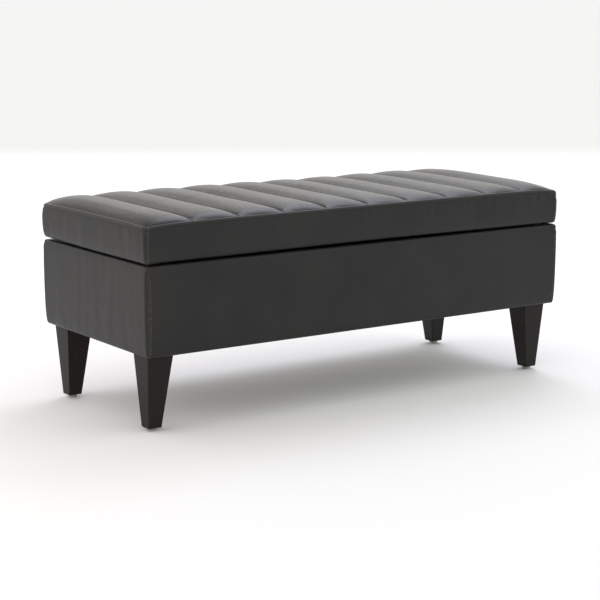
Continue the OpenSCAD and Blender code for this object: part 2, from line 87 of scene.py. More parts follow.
def place_camera():
    """Stands the camera in front and to the left of the bench, a little above the seat."""
    a, e = math.radians(VIEW_AZIMUTH), math.radians(VIEW_ELEVATION)
    back = Vector((math.sin(a) * math.cos(e), -math.cos(a) * math.cos(e), math.sin(e)))
    data = bpy.data.cameras.new("studio_camera")
    data.lens = LENS
    data.sensor_width = 36.0
    data.clip_end = 400.0
    camera = bpy.data.objects.new("studio_camera", data)
    bpy.context.scene.collection.objects.link(camera)
    camera.location = Vector(VIEW_TARGET) + back * VIEW_DISTANCE
    camera.rotation_mode = "QUATERNION"
    turn = back.to_track_quat("Z", "Y")
    roll = Quaternion((0, 0, 1), math.radians(VIEW_ROLL))
    camera.rotation_quaternion = turn @ roll
    bpy.context.scene.camera = camera


place_camera()

# ---------------------------------------------------------------- materials


def linear(hex_colour):
    """sRGB hex to the linear RGBA that shaders take."""
    values = [int(hex_colour[i:i + 2], 16) / 255 for i in (1, 3, 5)]
    return [v / 12.92 if v <= 0.04045 else ((v + 0.055) / 1.055) ** 2.4 for v in values] + [1.0]


def add(tree, kind, inputs=None, **settings):
    """Adds a node: settings are its properties, inputs are socket values or the sockets that feed them."""
    node = tree.nodes.new(kind)
    for name, value in settings.items():
        setattr(node, name, value)
    for name, value in (inputs or {}).items():
        if isinstance(value, bpy.types.NodeSocket):
            tree.links.new(value, node.inputs[name])
        else:
            node.inputs[name].default_value = value
    return node


def new_material(name, surface):
    """A material whose Principled shader has these settings. Returns material, tree, shader, coordinates."""
    material = bpy.data.materials.new(name)
    material.use_nodes = True
    tree = material.node_tree
    shader = tree.nodes["Principled BSDF"]
    for socket, value in surface.items():
        shader.inputs[socket].default_value = value
    where = add(tree, "ShaderNodeTexCoord").outputs["Object"]
    return material, tree, shader, where


def emboss(tree, shader, height, strength, depth_mm, under=None):
    """Presses a height into the surface, on top of a finer relief if there is one under it."""
    inputs = {"Height": height, "Strength": strength, "Distance": depth_mm * MM}
    if under is not None:
        inputs["Normal"] = under
    normal = add(tree, "ShaderNodeBump", inputs).outputs[0]
    tree.links.new(normal, shader.inputs["Normal"])
    return normal


def ramp(tree, factor, stops):
    """Colour ramp with (position, hex colour) stops."""
    node = add(tree, "ShaderNodeValToRGB", {"Fac": factor})
    node.color_ramp.elements[0].position = stops[0][0]
    node.color_ramp.elements[0].color = linear(stops[0][1])
    node.color_ramp.elements[1].position = stops[-1][0]
    node.color_ramp.elements[1].color = linear(stops[-1][1])
    for position, colour in stops[1:-1]:
        node.color_ramp.elements.new(position).color = linear(colour)
    return node.outputs["Color"]


def faux_leather():
    """Bonded faux leather: polyurethane skin embossed with a fine pebble grain, satin.

    The skin is nearly black, with warm and cool patches where the pigment is thinner. Raised edges are
    painted paler than the faces, partly for rubbing wear and partly as a painted highlight where ridges catch
    the light; the deep creases are dull.
    """
    material, tree, shader, where = new_material(
        "faux_leather_charcoal", {"IOR": 1.45, "Specular IOR Level": 0.37, "Coat Weight": 0.03,
                                  "Coat Roughness": 0.3})
    pebble = 1.3 * MM
    crease = 9.0 * MM
    patch = 120.0 * MM
    cells = add(tree, "ShaderNodeTexVoronoi", {"Vector": where, "Scale": 1 / pebble, "Randomness": 0.9},
                feature="SMOOTH_F1")
    creases = add(tree, "ShaderNodeTexNoise", {"Vector": where, "Scale": 1 / crease, "Detail": 5.0,
                                               "Roughness": 0.62, "Distortion": 0.5})
    patches = add(tree, "ShaderNodeTexNoise", {"Vector": where, "Scale": 1 / patch, "Detail": 3.0})
    mottle = add(tree, "ShaderNodeMix", {0: 0.35, 2: patches.outputs["Fac"], 3: creases.outputs["Fac"]})
    tint = ramp(tree, mottle.outputs[0], [(0.36, "#131212"), (0.5, "#181716"), (0.66, "#1e1c1a")])
    edge = add(tree, "ShaderNodeNewGeometry").outputs["Pointiness"]
    # painted highlight and wear: raised edges turn paler, standing for light caught on the ridges as well as
    # rubbing
    wear_and_painted_highlight = add(tree, "ShaderNodeMapRange", {"Value": edge, "From Min": 0.515, "From Max": 0.6,
                                            "To Min": 0.0, "To Max": 0.6})
    colour = add(tree, "ShaderNodeMix", {0: wear_and_painted_highlight.outputs[0], 6: tint, 7: linear("#4d4945")}, data_type="RGBA")
    tree.links.new(colour.outputs[2], shader.inputs["Base Color"])
    gloss = add(tree, "ShaderNodeMapRange", {"Value": creases.outputs["Fac"], "From Min": 0.3,
                                             "From Max": 0.7, "To Min": 0.37, "To Max": 0.47})
    crevice = add(tree, "ShaderNodeMapRange", {"Value": edge, "From Min": 0.36, "From Max": 0.47,
                                               "To Min": 0.9, "To Max": 0.0})
    dull = add(tree, "ShaderNodeMath", {0: gloss.outputs[0], 1: crevice.outputs[0]}, operation="MAXIMUM")
    tree.links.new(dull.outputs[0], shader.inputs["Roughness"])
    grain = emboss(tree, shader, cells.outputs["Distance"], 0.18, 0.12)
    emboss(tree, shader, creases.outputs["Fac"], 0.35, 0.35, under=grain)
    return material


def stitching_thread():
    """Bonded nylon thread, charcoal, coloured mid to pale grey in bands along its twisted plies: a painted
    glint that gives each stitch a slanted rib.
    """
    material, tree, shader, where = new_material(
        "nylon_thread_charcoal_painted_glints", {"Roughness": 0.55, "IOR": 1.53, "Sheen Weight": 0.25})
    ply = 1.1 * MM
    plies = add(tree, "ShaderNodeTexWave", {"Vector": where, "Scale": 1 / ply / 6.28, "Distortion": 0.4},
                bands_direction="DIAGONAL")
    # painted glint: the charcoal thread is coloured pale, with light and dark ply bands standing for light
    # caught on each stitch
    tree.links.new(ramp(tree, plies.outputs["Fac"], [(0.2, "#4a4744"), (0.8, "#8f8a84")]),
                   shader.inputs["Base Color"])
    return material


def stained_wood():
    """Rubberwood, sanded and sprayed with an espresso stain lacquer: almost black, faint upright grain."""
    material, tree, shader, where = new_material(
        "rubberwood_espresso_lacquer", {"IOR": 1.48, "Specular IOR Level": 0.22, "Coat Weight": 0.05,
                                        "Coat Roughness": 0.35})
    squeezed = add(tree, "ShaderNodeMapping", {"Vector": where, "Scale": (1.0, 1.0, 0.06)})
    grain_width = 3.0 * MM
    grain = add(tree, "ShaderNodeTexNoise", {"Vector": squeezed.outputs[0], "Scale": 1 / grain_width,
                                             "Detail": 6.0, "Roughness": 0.6, "Distortion": 0.8})
    pores = add(tree, "ShaderNodeTexNoise", {"Vector": squeezed.outputs[0], "Scale": 4 / grain_width,
                                             "Detail": 3.0})
    tree.links.new(ramp(tree, grain.outputs["Fac"], [(0.3, "#0f0b0a"), (0.5, "#170f0d"), (0.7, "#221815")]),
                   shader.inputs["Base Color"])
    gloss = add(tree, "ShaderNodeMapRange", {"Value": grain.outputs["Fac"], "To Min": 0.42, "To Max": 0.55})
    tree.links.new(gloss.outputs[0], shader.inputs["Roughness"])
    emboss(tree, shader, pores.outputs["Fac"], 0.2, 0.15)
    return material


def plywood():
    """Poplar plywood, sanded and unfinished: pale, with long grain and darker glue lines on its edges."""
    material, tree, shader, where = new_material("poplar_plywood", {"Roughness": 0.75, "IOR": 1.5})
    along = add(tree, "ShaderNodeMapping", {"Vector": where, "Scale": (0.08, 1.0, 1.0)})
    grain = add(tree, "ShaderNodeTexNoise", {"Vector": along.outputs[0], "Scale": 1 / (5 * MM), "Detail": 5.0,
                                             "Distortion": 0.6})
    tree.links.new(ramp(tree, grain.outputs["Fac"], [(0.3, "#a8845a"), (0.7, "#d3b486")]),
                   shader.inputs["Base Color"])
    emboss(tree, shader, grain.outputs["Fac"], 0.3, 0.2)
    return material


def bonded_fibre(name, dark, light, fibre_mm):
    """Spun fibre without a weave, such as lining cloth or wadding: matt, with fibres lying every way."""
    material, tree, shader, where = new_material(name, {"Roughness": 0.9, "IOR": 1.5, "Sheen Weight": 0.3,
                                                        "Sheen Roughness": 0.5})
    fibres = add(tree, "ShaderNodeTexVoronoi", {"Vector": where, "Scale": 1 / (fibre_mm * MM)},
                 feature="DISTANCE_TO_EDGE")
    cloud = add(tree, "ShaderNodeTexNoise", {"Vector": where, "Scale": 1 / (12 * fibre_mm * MM),
                                             "Detail": 4.0})
    tree.links.new(ramp(tree, cloud.outputs["Fac"], [(0.3, dark), (0.7, light)]), shader.inputs["Base Color"])
    emboss(tree, shader, fibres.outputs["Distance"], 0.5, 0.15)
    return material


def metal(name, dark, light, roughness, metallic=1.0):
    """Metal finish: its colour drifts between two close tones, over fine drawn or rolled lines.

    Powder coat has a metallic of 0, because its surface is paint.
    """
    material, tree, shader, where = new_material(name, {"Metallic": metallic, "Roughness": roughness})
    lines = add(tree, "ShaderNodeMapping", {"Vector": where, "Scale": (0.05, 1.0, 1.0)})
    drawn = add(tree, "ShaderNodeTexNoise", {"Vector": lines.outputs[0], "Scale": 1 / (0.8 * MM),
                                             "Detail": 3.0})
    tree.links.new(ramp(tree, drawn.outputs["Fac"], [(0.35, dark), (0.65, light)]),
                   shader.inputs["Base Color"])
    emboss(tree, shader, drawn.outputs["Fac"], 0.15, 0.05)
    return material


def moulded(name, dark, light, roughness):
    """Moulded plastic or rubber: a fine spark-eroded texture from the mould."""
    material, tree, shader, where = new_material(name, {"Roughness": roughness, "IOR": 1.5})
    spark = add(tree, "ShaderNodeTexNoise", {"Vector": where, "Scale": 1 / (0.7 * MM), "Detail": 2.0})
    tree.links.new(ramp(tree, spark.outputs["Fac"], [(0.35, dark), (0.65, light)]),
                   shader.inputs["Base Color"])
    emboss(tree, shader, spark.outputs["Fac"], 0.2, 0.06)
    return material


LEATHER = faux_leather()
THREAD = stitching_thread()
WOOD = stained_wood()
FINISHES = {
    "faux_leather": LEATHER,
    "stained_wood": WOOD,
    "plywood": plywood(),
    "polyester_wadding": bonded_fibre("polyester_wadding", "#d9d6cf", "#efece6", 0.8),
    "seat_foam": bonded_fibre("polyurethane_foam", "#d6cb94", "#e8dfb4", 1.2),
    "black_cloth": bonded_fibre("spunbond_lining", "#19191a", "#232324", 1.6),
    "zinc_plated_steel": metal("zinc_plated_steel", "#9c9ea0", "#c3c5c7", 0.35),
    "black_steel": metal("powder_coated_steel", "#1a1b1c", "#242526", 0.5, 0.0),
    "polished_steel": metal("chromed_rod", "#a9abae", "#b9bbbe", 0.12),
    "glide_plastic": moulded("nylon_glide_natural", "#a19e99", "#b5b2ad", 0.5),
    "black_nylon": moulded("nylon_black", "#151516", "#1e1e20", 0.5),
    "bumper_rubber": moulded("bumper_rubber", "#101010", "#191918", 0.8),
}


def finish_cad_nodes():
    """Gives every CAD node that stays in view the finish of its material slot."""
    for row in frame["record"]["subparts"]:
        node = frame["nodes"][row["node"]]
        node.data.materials.clear()
        node.data.materials.append(FINISHES[row["material_slot"]])


finish_cad_nodes()

# ---------------------------------------------------------------- mesh tools


def make_piece(name, points, faces, material, smooth=True):
    """A mesh object from points in millimetres."""
    mesh = bpy.data.meshes.new(name)
    places = [tuple(float(v) * MM for v in p) for p in points]
    mesh.from_pydata(places, [], [tuple(map(int, f)) for f in faces])
    mesh.validate()
    mesh.materials.append(material)
    mesh.polygons.foreach_set("use_smooth", [smooth] * len(mesh.polygons))
    piece = bpy.data.objects.new(name, mesh)
    bpy.context.scene.collection.objects.link(piece)
    return piece


def apply_modifiers(piece):
    """Replaces a piece's mesh by the result of its modifiers."""
    depsgraph = bpy.context.evaluated_depsgraph_get()
    result = bpy.data.meshes.new_from_object(piece.evaluated_get(depsgraph))
    piece.modifiers.clear()
    piece.data = result


def grid_faces(rows, columns, closed=False):
    """Quads of a grid of points numbered row by row. A closed grid joins its last row to its first."""
    faces = []
    for i in range(rows if closed else rows - 1):
        j = (i + 1) % rows
        for k in range(columns - 1):
            faces.append((i * columns + k, j * columns + k, j * columns + k + 1, i * columns + k + 1))
    return faces


def ripple(x, y, z, sizes):
    """Smooth noise of about -1 to 1, with a wavelength in millimetres along each axis."""
    return noise.noise(Vector((x / sizes[0], y / sizes[1], z / sizes[2]))) * 1.6


def spread(total, fine, coarse, growth=1.22, edge=7.5):
    """Places from 0 to total: fine steps for the first edge millimetres at both ends, growing to coarse."""
    steps = [fine] * int(edge / fine)
    while sum(steps) < total / 2:
        steps.append(min(steps[-1] * growth, coarse))
    half = np.concatenate([[0], np.cumsum(steps)])
    half *= total / 2 / half[-1]
    return np.concatenate([half, total - half[-2::-1]])


# ---------------------------------------------------------------- outline of the bench

BENCH_LOW, BENCH_HIGH = (np.array(corner) / MM for corner in cad_box)
HALF_L = (BENCH_HIGH[0] - BENCH_LOW[0]) / 2
HALF_D = (BENCH_HIGH[1] - BENCH_LOW[1]) / 2
SIDES = ("front", "right", "back", "left")


def stations(side, corner_r, corner_share):
    """Stations round one side, from seam to seam: how far along each is, and its row (cx, cy, nx, ny).

    A row says which way the centre of the bend lies and which way the surface faces. corner_share is how
    much of a corner the side covers.
    """
    half = HALF_L if side in ("front", "back") else HALF_D
    bend = corner_r * math.radians(90 * corner_share)
    straight = 2 * (half - corner_r)
    places = spread(2 * bend + straight, 0.8, 5.0)
    rows = []
    for s in places:
        if s < bend:
            a = (bend - s) / corner_r
            row = (-1.0, -1.0, -math.sin(a), -math.cos(a))
        elif s > bend + straight:
            a = (s - bend - straight) / corner_r
            row = (1.0, -1.0, math.sin(a), -math.cos(a))
        else:
            row = (2 * (s - bend) / straight - 1, -1.0, 0.0, -1.0)
        for _ in range(SIDES.index(side)):
            row = (-row[1], row[0], -row[3], row[2])
        rows.append(row)
    return places, np.array(rows)


def outline(rows, inset, corner_r):
    """Plan places of stations at an inset from the bench's outline."""
    r = max(corner_r - inset, 1.5)
    x = rows[:, 0] * (HALF_L - inset - r) + r * rows[:, 2]
    y = rows[:, 1] * (HALF_D - inset - r) + r * rows[:, 3]
    return x, y


def smooth_profile(points, step):
    """Smooth profile through (inset, z) points, resampled about every step millimetres."""
    points = np.array(points, float)
    run = np.concatenate([[0], np.cumsum(np.hypot(*np.diff(points, axis=0).T))])
    places = np.linspace(0, run[-1], max(8, int(run[-1] / step)))
    smooth = []
    for axis in range(2):
        value = points[:, axis]
        slope = np.gradient(value, run)
        k = np.clip(np.searchsorted(run, places, side="right") - 1, 0, len(run) - 2)
        h = run[k + 1] - run[k]
        t = (places - run[k]) / h
        smooth.append((2 * t**3 - 3 * t**2 + 1) * value[k] + (t**3 - 2 * t**2 + t) * h * slope[k]
                      + (3 * t**2 - 2 * t**3) * value[k + 1] + (t**3 - t**2) * h * slope[k + 1])
    return np.array(smooth).T


# ---------------------------------------------------------------- covers of the box

BOX_BASE = cad_mm("front_cover")[0][2]
BOX_RIM = cad_mm("front_cover")[1][2]
WALL = 22.4  # thickness of a covered wall
BOX_CORNER_R = 8.4
LONG_SHARE = 0.35  # how much of a corner the front or back cover takes in
END_SHARE = 0.65
SEAM_LEDGE = 5.4  # width of the seam allowance, and where its topstitching runs
RIM_TURN = 35.0  # how far the cover is turned down inside the box
LEATHER_THICKNESS = 1.1


def box_profile():
    """Section of a covered wall: in from under it, up the face, over the rim and down inside."""
    base, rim = BOX_BASE, BOX_RIM
    return [
        (20, base), (14, base - 0.3), (9.5, base - 0.2), (6.5, base + 0.5), (4.6, base + 2),
        (3.3, base + 4.6), (2.4, base + 8.5), (1.6, base + 15), (0.7, base + 25), (0, base + 40),
        (-0.6, base + 70), (-0.9, base + 100), (-0.9, base + 130), (-0.6, rim - 30), (-0.3, rim - 18),
        (0.3, rim - 11), (1.5, rim - 5.6), (4, rim - 2.2), (7.6, rim - 0.5), (12, rim),
        (16.5, rim - 0.2), (20.5, rim - 1.4), (WALL, rim - 4.5), (WALL, rim - 12), (WALL, rim - RIM_TURN),
    ]


def sewn_edge(s, total, long_side):
    """How far a cover stands out near its upright seams, at a distance along it.

    On the long sides the seam allowance lies under the edge as a ledge, held by a row of topstitching.
    """
    d = min(s, total - s)
    tuck = -0.6 * math.exp(-((d / 0.6) ** 2))
    if not long_side:
        return tuck
    ledge = 0.5 / (1 + math.exp(min((d - SEAM_LEDGE - 0.9) / 0.5, 50)))
    ridge = 1.0 * math.exp(-(((d - 1.3) / 0.8) ** 2))
    sink = -0.7 * math.exp(-(((d - SEAM_LEDGE) / 0.8) ** 2))
    return tuck + ledge + ridge + sink


def facing_out(inset):
    """1 on the face of a wall, falling to 0 where the cover turns in under or over it."""
    return 1.0 / (1.0 + math.exp((inset - 6) / 1.2))


def box_relief(s, total, z, x, y):
    """Slack in a box cover: slow hollows, faint upright drags, and puckers at the corners of the rim."""
    lift = 0.5 * ripple(x + y, 7, z, (170, 1, 120))
    lift += 0.22 * ripple(x - y, 31, z, (26, 1, 150))
    d = min(s, total - s)
    near_rim = math.exp(-max(BOX_RIM - 8 - z, 0) / 11) * math.exp(-d / 10)
    lift += 1.8 * near_rim * ripple(x - y, 3.5, z, (5, 1, 8))
    low = math.exp(-max(z - BOX_BASE, 0) / 45)
    lift += 0.45 * low * ripple(x - y + 0.35 * z, 11, z, (21, 1, 60))
    return lift


def cover_box_side(side):
    """One cover of the box, as a grid of points: stations by profile."""
    long_side = side in ("front", "back")
    profile = smooth_profile(box_profile(), 2.6)
    places, rows = stations(side, BOX_CORNER_R, LONG_SHARE if long_side else END_SHARE)
    total = places[-1]
    points = np.zeros((len(places), len(profile), 3))
    for k, (inset, z) in enumerate(profile):
        x, y = outline(rows, inset, BOX_CORNER_R)
        outside = facing_out(inset)
        for i, s in enumerate(places):
            out = sewn_edge(s, total, long_side) * outside
            out += box_relief(s, total, z, x[i], y[i]) * outside
            points[i, k] = (x[i] + rows[i, 2] * out, y[i] + rows[i, 3] * out, z)
    return places, points


def leather_sheet(name, points, body, *nodes):
    """Leather over a grid of points, given the thickness of the real cover."""
    rows, columns = points.shape[:2]
    piece = make_piece(name, points.reshape(-1, 3), grid_faces(rows, columns), LEATHER)
    thickness = piece.modifiers.new("thickness", "SOLIDIFY")
    thickness.thickness = LEATHER_THICKNESS * MM
    thickness.offset = -1.0
    apply_modifiers(piece)
    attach(piece, body)
    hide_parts(*nodes)


# ---------------------------------------------------------------- stitches


STITCH_LENGTH = 3.6
STITCH_WIDTH = 1.2
STITCH_PITCH = 5.6
STITCH_SHAPE = ((0, 0.25), (0.2, 0.8), (0.5, 1.0), (0.8, 0.8), (1, 0.25))  # (along it, share of its width)
STITCH_SIDES = 6


def stitch_row(places, out):
    """Stitches along a path of points with outward directions: a lens-shaped loop of thread each."""
    places, out = np.array(places), np.array(out)
    run = np.concatenate([[0], np.cumsum(np.linalg.norm(np.diff(places, axis=0), axis=1))])
    points, faces = [], []
    sides, rings = STITCH_SIDES, len(STITCH_SHAPE)
    for n in range(int((run[-1] - STITCH_LENGTH) / STITCH_PITCH)):
        start = len(points)
        for t, share in STITCH_SHAPE:
            at = n * STITCH_PITCH + STITCH_PITCH / 2 + t * STITCH_LENGTH
            here = np.array([np.interp(at, run, places[:, a]) for a in range(3)])
            ahead = np.array([np.interp(at + 0.5, run, places[:, a]) for a in range(3)])
            up = np.array([np.interp(at, run, out[:, a]) for a in range(3)])
            up /= np.linalg.norm(up)
            beside = np.cross(ahead - here, up)
            beside /= np.linalg.norm(beside)
            sunk = 0.25 - 0.9 * (2 * t - 1) ** 2
            r = STITCH_WIDTH / 2 * share
            for a in range(sides):
                turn = 2 * math.pi * a / sides
                points.append(here + up * (sunk + r * math.sin(turn)) + beside * r * math.cos(turn))
        for ring in range(rings - 1):
            for a in range(sides):
                b = (a + 1) % sides
                k = start + ring * sides
                faces.append((k + a, k + b, k + sides + b, k + sides + a))
        faces.append(tuple(start + a for a in reversed(range(sides))))
        faces.append(tuple(start + (rings - 1) * sides + a for a in range(sides)))
    return points, faces


def sew(name, body, rows_of_stitches):
    """All the stitches of one body as one piece."""
    points, faces = [], []
    for row_points, row_faces in rows_of_stitches:
        base = len(points)
        points += row_points
        faces += [tuple(base + v for v in f) for f in row_faces]
    piece = make_piece(name, points, faces, THREAD)
    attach(piece, body)
    return piece


def upright_stitches(places, points, first, last):
    """Topstitching down both seams of a long side, between two heights."""
    found = []
    for where in (SEAM_LEDGE, places[-1] - SEAM_LEDGE):
        i = int(np.argmin(np.abs(places - where)))
        column = points[i]
        keep = (column[:, 2] > first) & (column[:, 2] < last)
        path = column[keep]
        steps = np.gradient(path, axis=0)
        beside = points[min(i + 1, len(places) - 1)][keep] - points[i - 1][keep]
        out = np.cross(beside, steps)
        out /= np.linalg.norm(out, axis=1)[:, None]
        found.append(stitch_row(path, out))
    return found


# ---------------------------------------------------------------- lid

LID_BASE = cad_mm("front_band")[0][2]
SEAM_Z = 442.0  # seam between seat and bands, at the middle of the bench
LID_CORNER_R = 9.0
LID_TOP_CORNER_R = 20.0
SEAM_INSET = 1.3
LID_TURN = 30.0  # how far a band is turned in under the lid board
CHANNELS = 10
CHANNEL = 2 * HALF_L / CHANNELS
STITCH_DROP = 6.6  # topstitching of the bands, below the seam
BAND_STEP = 1.8


def seam_height(x, y):
    """Height of the seam round the seat: it dips at the ends and most at the corners."""
    end, side = HALF_L - abs(x), HALF_D - abs(y)
    dip = 2.6 * math.exp(-end / 30) + 4.4 * math.exp(-max(end, side) / 45)
    return SEAM_Z - dip - (1.8 * math.exp(-end / 16) if x > 0 else 0.0)


def band_profile():
    """Section of a side band as (inset, drop): down the face from the seam, then in under the lid board."""
    return [
        (SEAM_INSET + 0.8, 0.0), (SEAM_INSET - 0.7, 0.7), (-0.1, 1.6), (-0.3, 3.0), (0, 4.8),
        (0.7, STITCH_DROP - 0.8), (1.8, STITCH_DROP), (0.8, STITCH_DROP + 0.9), (-0.1, 10), (-0.9, 15),
        (-1.3, 22), (-1.5, 32), (-1.3, 42), (-0.8, 52), (0, 60), (0.8, 66), (1.8, 70.5), (3, 74),
        (4.6, 76.6), (6.8, 78.2), (10, 79), (14, 79), (22, 79), (LID_TURN, 78.8),
    ]


def ease(value, start, end):
    """Smooth step from 0 at start to 1 at end."""
    t = min(max((value - start) / (end - start), 0.0), 1.0)
    return t * t * (3 - 2 * t)


def lower_roll(x, y, inset):
    """How far the padded lower edge of a band hangs below the lid board: most at the ends."""
    front = 0.3 + 1.5 * ease(-x, 0, HALF_L) + 2.4 * ease(x, 0, HALF_L)
    long_edge = front + (0.4 - front) * ease(y, -HALF_D + 30, HALF_D - 30)
    at_end = ease(abs(x), HALF_L - 45, HALF_L - 4) * (1 - 0.7 * ease(y, 0, HALF_D))
    return (long_edge + (3.6 - long_edge) * at_end) * (1 - ease(inset, 7, 13))


def band_relief(s, total, drop, x, y):
    """Slack in a side band: creases that hang from the seam, upright drags, puckers at the corners.

    The right end is drawn in a little.
    """
    lift = 0.45 * ripple(x + y, 17, drop, (130, 1, 60))
    hang = math.exp(-((drop - 16) / 16) ** 2)
    lift += (0.15 + 0.9 * ease(x, -HALF_L, HALF_L)) * hang * ripple(x - y, 5.5, drop, (11, 1, 32))
    lift += 0.3 * ripple(x - y, 23, drop, (24, 1, 110))
    d = min(s, total - s)
    corner = math.exp(-d / 13) * math.exp(-max(drop - 9, 0) / 12)
    lift += 1.9 * corner * ripple(x - y + drop, 9.5, drop, (5, 1, 8))
    return lift - 3.4 * ease(x, HALF_L - 12, HALF_L - 2)


def cover_band(side):
    """One side band of the lid, as a grid of points: stations by profile."""
    long_side = side in ("front", "back")
    profile = smooth_profile(band_profile(), BAND_STEP)
    places, rows = stations(side, LID_TOP_CORNER_R, LONG_SHARE if long_side else END_SHARE)
    total = places[-1]
    full = profile[:, 1].max()
    loose_from = STITCH_DROP + 1
    points = np.zeros((len(places), len(profile), 3))
    for k, (inset, drop) in enumerate(profile):
        x, y = outline(rows, inset, LID_CORNER_R + (LID_TOP_CORNER_R - LID_CORNER_R) * math.exp(-drop / 9))
        outside = facing_out(inset) if drop > 30 else 1.0
        below = min(1.0, max(0.0, (drop - 1) / 3))
        loose = min(1, (drop - STITCH_DROP - 1) / 5)
        for i, s in enumerate(places):
            out = sewn_edge(s, total, long_side) * outside * below
            if drop > loose_from:
                out += band_relief(s, total, drop, x[i], y[i]) * outside * loose
            top = seam_height(x[i], y[i])
            z = top - drop / full * (top - LID_BASE)
            z -= lower_roll(x[i], y[i], inset) * ease(drop, 45, 74)
            points[i, k] = (x[i] + rows[i, 2] * out, y[i] + rows[i, 3] * out, z)
    return places, points


def seam_stitches(points):
    """Topstitching along a band, just below its seam with the seat."""
    profile = smooth_profile(band_profile(), BAND_STEP)
    face = 14  # the first steps of the profile, which the stitches are sure to be in
    k = int(np.argmin(np.abs(profile[:face, 1] - STITCH_DROP)))
    path = points[:, k]
    down = points[:, k + 2] - points[:, k - 2]
    along = np.gradient(path, axis=0)
    out = np.cross(down, along)
    out[np.sum(out * path * (1, 1, 0), axis=1) < 0] *= -1
    return stitch_row(path, out)


CREST = 16.2  # height of a pad above the seam
VALLEY = 6.6  # height of a groove above the seam, before its stitching pulls it down


def seat_rise(x, y):
    """Height of the channelled seat above its seam, before it is inflated.

    The pads stand lower to the right of the middle, and they roll off more slowly at the back. Each groove
    is pulled down by its stitching, with a pucker beside it at the seam.
    """
    end, side = HALF_L - abs(x), HALF_D - abs(y)
    flatter = ease(x, -150, 120) - 0.35 * ease(x, 200, 380)
    behind = ease(y, -80, 120)
    fullness = 1 - math.exp(-((side / (22 + 13 * behind)) ** 0.75))
    crest = (CREST - 3.0 * flatter) * (1 + 0.14 * behind) * fullness
    valley = (VALLEY - 2.0 * flatter) * (1 - math.exp(-((side / 14) ** 0.8)))
    u = (x + HALF_L) / CHANNEL % 1.0
    if end < CHANNEL / 2:
        bluntness = 4.5 if x < 0 else 1.7
        return crest * (1 - (1 - min(end / (CHANNEL * 0.52), 1)) ** bluntness)
    from_groove = min(u, 1 - u) * CHANNEL
    pull = 5.5 * math.exp(-from_groove / 2.3) * min(1.0, side / 12)
    pucker = 1.5 * math.exp(-(((side - 5) / 4) ** 2)) * math.exp(-(((from_groove - 3) / 1.8) ** 2))
    return valley + (crest - valley) * (1 - abs(2 * u - 1) ** 2.1) - pull + pucker


def seat_grid():
    """Columns and rows of the seat: close together beside the grooves and along the seam."""
    across = [0, 0.01, 0.024, 0.044, 0.075, 0.12, 0.18, 0.26, 0.37, 0.5]
    cell = across + [1 - v for v in reversed(across[1:-1])]
    xs = [(c + v) * CHANNEL - HALF_L for c in range(CHANNELS) for v in cell] + [HALF_L]
    ys = spread(2 * HALF_D, 1.6, 9.0, growth=1.2, edge=3.0) - HALF_D
    return np.array(xs), np.array(ys)


def round_corner(x, y, reach_x, reach_y, r):
    """Moves a place of a square-cornered sheet so that the sheet's corner is an arc."""
    dx, dy = abs(x) - (reach_x - r), abs(y) - (reach_y - r)
    if dx <= 0 or dy <= 0:
        return x, y
    k = max(dx, dy) / math.hypot(dx, dy)
    return math.copysign(reach_x - r + dx * k, x), math.copysign(reach_y - r + dy * k, y)


UNDERSIDE_DROP = 12
FREE_FROM = 28  # distance from the nearest sewn line beyond which the cover is quite free


def sew_seat():
    """The channelled seat as a closed cushion: top panel, and a flat underside on the lid board."""
    xs, ys = seat_grid()
    squeeze_x, squeeze_y = (HALF_L - SEAM_INSET) / HALF_L, (HALF_D - SEAM_INSET) / HALF_D
    top, under, slack = [], [], []
    for x in xs:
        for y in ys:
            px, py = round_corner(x * squeeze_x, y * squeeze_y, HALF_L - SEAM_INSET, HALF_D - SEAM_INSET,
                                  LID_TOP_CORNER_R - SEAM_INSET)
            seam = seam_height(px, py)
            top.append((px, py, seam + seat_rise(x, y)))
            under.append((px * 0.985, py * 0.97, seam - UNDERSIDE_DROP))
            from_groove = abs((x + HALF_L) / CHANNEL - round((x + HALF_L) / CHANNEL)) * CHANNEL
            slack.append(min(1.0, min(from_groove, HALF_L - abs(x), HALF_D - abs(y)) / FREE_FROM))
    rows, columns = len(xs), len(ys)
    count = rows * columns
    faces = grid_faces(rows, columns)
    faces += [tuple(count + v for v in reversed(f)) for f in faces]
    rim = [i * columns for i in range(rows)]
    rim += [(rows - 1) * columns + k for k in range(1, columns)]
    rim += [i * columns + columns - 1 for i in reversed(range(rows - 1))]
    rim += list(reversed(range(1, columns - 1)))
    for a, b in zip(rim, rim[1:] + rim[:1]):
        faces.append((a, b, count + b, count + a))
    piece = make_piece("seat_cushion", top + under, faces, LEATHER)
    return piece, slack + [0.0] * count


CLOTH_FRAMES = 20
SWELL_LIMIT = 1.3


